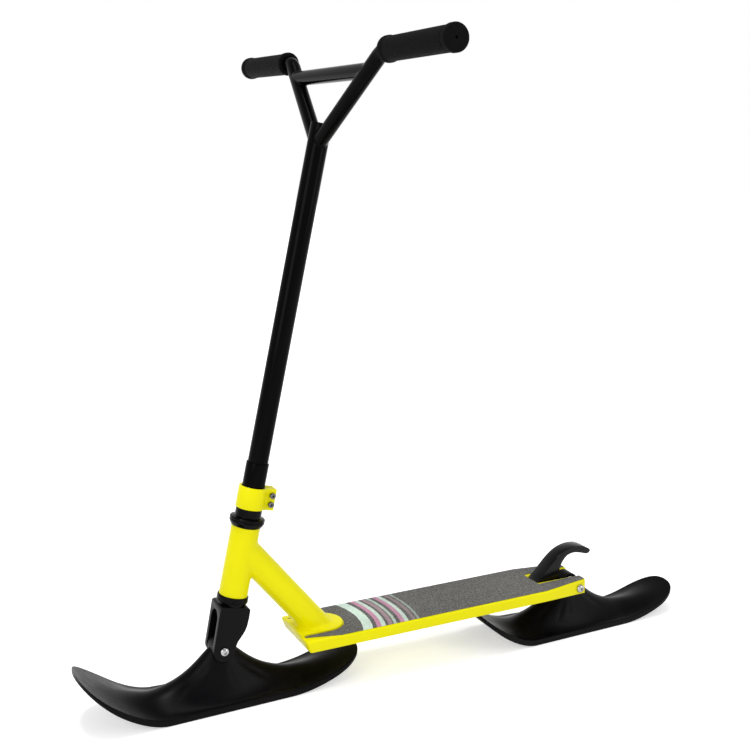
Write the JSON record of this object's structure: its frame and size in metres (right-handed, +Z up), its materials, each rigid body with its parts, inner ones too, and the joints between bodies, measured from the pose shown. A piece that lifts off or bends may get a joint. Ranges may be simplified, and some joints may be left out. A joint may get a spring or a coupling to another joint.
{
  "type": "snow scooter",
  "caption": "Stunt style scooter on two pivoting moulded skis, with a Y handlebar, gritted deck and a rear foot lever.",
  "frame": {"origin": "on the ground, on the centre plane, below the middle of the whole length", "axes": "+X towards the front ski, +Y to the rider's left, +Z up"},
  "size_m": [1.0052, 0.6424, 0.9022],
  "materials": {
    "yellow_frame": "glossy lemon yellow powder coat",
    "bar_black": "satin black paint",
    "headset_black": "semi-gloss black",
    "cast_black": "satin black paint over a casting",
    "ski_plastic": "moulded black plastic with a soft sheen",
    "lever_plastic": "moulded black plastic",
    "grip_rubber": "matt black rubber",
    "grip_sheet": "grey grit sheet with plain curved stripes in mint, pink and grey",
    "fastener_steel": "zinc plated steel",
    "bearing_steel": "ground steel",
    "nylon": "natural white nylon"
  },
  "bodies": {
    "frame": {"deck": "yellow_frame", "grip_tape": "grip_sheet", "neck_plate": "yellow_frame", "down_tube": "yellow_frame", "head_tube": "yellow_frame", "lower_cup": "headset_black", "lower_bearing": "bearing_steel", "upper_cup": "headset_black", "upper_bearing": "bearing_steel", "rear_axle_bolt": "fastener_steel", "rear_axle_nut": "fastener_steel", "rear_spacer_left": "nylon", "rear_spacer_right": "nylon", "arm_spacer_left": "fastener_steel", "arm_spacer_right": "fastener_steel", "brake_pin": "fastener_steel"},
    "steering": {"fork": "cast_black", "crown_race": "headset_black", "bearing_cover": "headset_black", "steerer_tube": "cast_black", "star_nut": "fastener_steel", "compression_cap": "cast_black", "compression_bolt": "fastener_steel", "bar_tube": "bar_black", "bar_sleeve": "bar_black", "clamp_collar": "yellow_frame", "clamp_bolt_lower": "fastener_steel", "clamp_bolt_upper": "fastener_steel", "crossbar": "bar_black", "riser_left": "bar_black", "riser_right": "bar_black", "grip_left": "grip_rubber", "grip_right": "grip_rubber", "front_axle_bolt": "fastener_steel", "front_axle_nut": "fastener_steel", "front_washer_left": "nylon", "front_washer_right": "nylon"},
    "front_ski": {"front_ski": "ski_plastic", "front_ski_bush": "nylon"},
    "rear_ski": {"rear_ski": "ski_plastic", "rear_ski_bush": "nylon"},
    "brake": {"brake_lever": "lever_plastic", "brake_spring": "fastener_steel"}
  },
  "joints": [
    {"name": "steering", "type": "hinge", "parent": "frame", "child": "steering", "pos_m": [0.2789, 0, 0.1489], "axis": [-0.1994, 0, 0.9799], "continuous": true},
    {"name": "front_ski_pitch", "type": "hinge", "parent": "steering", "child": "front_ski", "pos_m": [0.2988, 0, 0.0768], "axis": [0, 1, 0], "range_deg": [-12, 5]},
    {"name": "rear_ski_pitch", "type": "hinge", "parent": "frame", "child": "rear_ski", "pos_m": [-0.2938, 0, 0.0768], "axis": [0, 1, 0], "range_deg": [-0.6, 10]},
    {"name": "brake_press", "type": "hinge", "parent": "frame", "child": "brake", "pos_m": [-0.2366, 0, 0.08096], "axis": [0, -1, 0], "range_deg": [0, 18], "stiffness_Nm_per_rad": 2, "springref_deg": -11.46}
  ]
}
